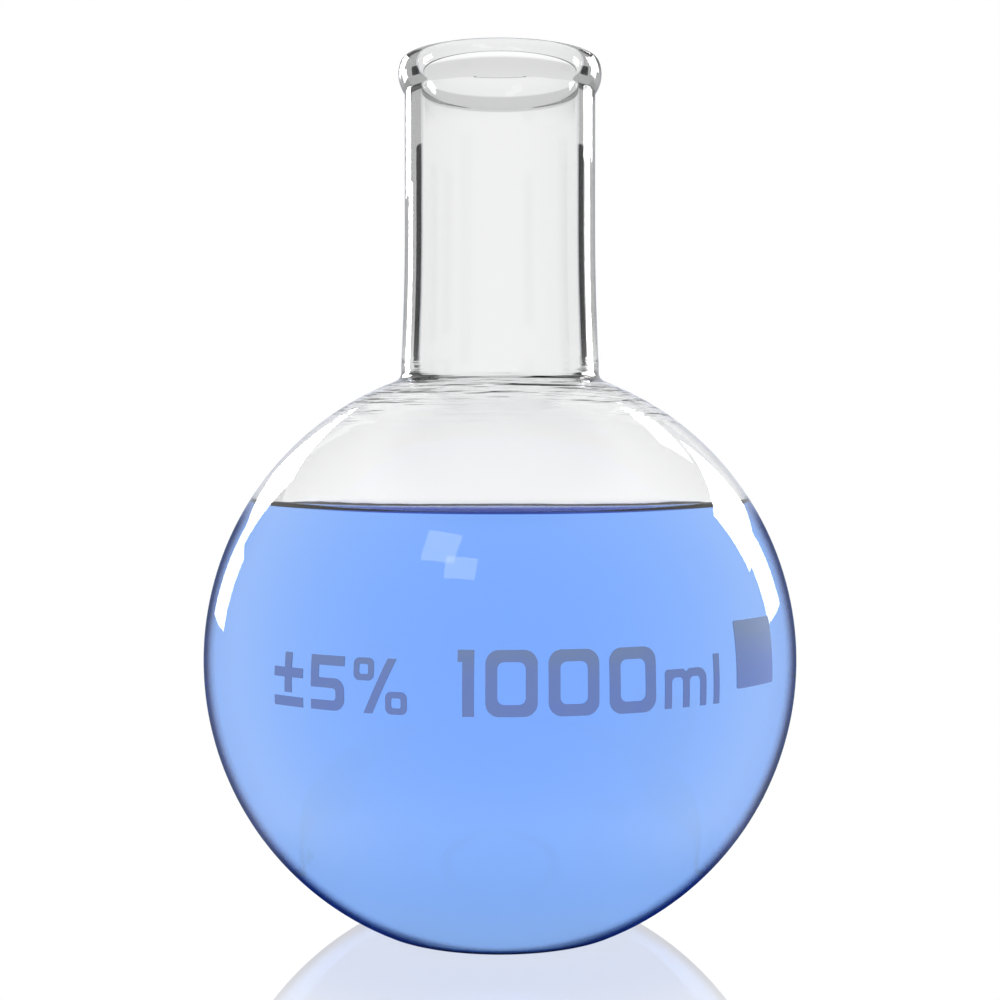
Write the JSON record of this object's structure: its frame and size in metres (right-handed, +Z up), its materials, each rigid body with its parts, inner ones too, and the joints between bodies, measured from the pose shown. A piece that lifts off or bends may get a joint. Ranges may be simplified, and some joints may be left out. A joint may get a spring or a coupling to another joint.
{
  "type": "flat-bottomed boiling flask",
  "caption": "Flat-bottomed round glass boiling flask with a short wide beaded neck, part filled with clear blue liquid, with a capacity mark and a writing patch in fired enamel.",
  "frame": {"origin": "centre of the flat foot, on the surface that the flask stands on", "axes": "+Z up along the axis of ball and neck, -Y towards the reader of the capacity mark, +X to that reader's right"},
  "size_m": [0.131, 0.1311, 0.1928],
  "materials": {
    "borosilicate_glass": "clear, fire-polished",
    "blue_liquid": "clear liquid",
    "fired_enamel": "matt fired enamel"
  },
  "bodies": {
    "root": {"bulb": "borosilicate_glass", "neck": "borosilicate_glass", "rim_bead": "borosilicate_glass", "liquid": "blue_liquid", "enamel_one": "fired_enamel", "enamel_nought_1": "fired_enamel", "enamel_nought_2": "fired_enamel", "enamel_nought_3": "fired_enamel", "enamel_m": "fired_enamel", "enamel_l": "fired_enamel", "writing_patch": "fired_enamel", "enamel_plus_minus": "fired_enamel", "enamel_five": "fired_enamel", "enamel_percent": "fired_enamel"}
  },
  "joints": []
}
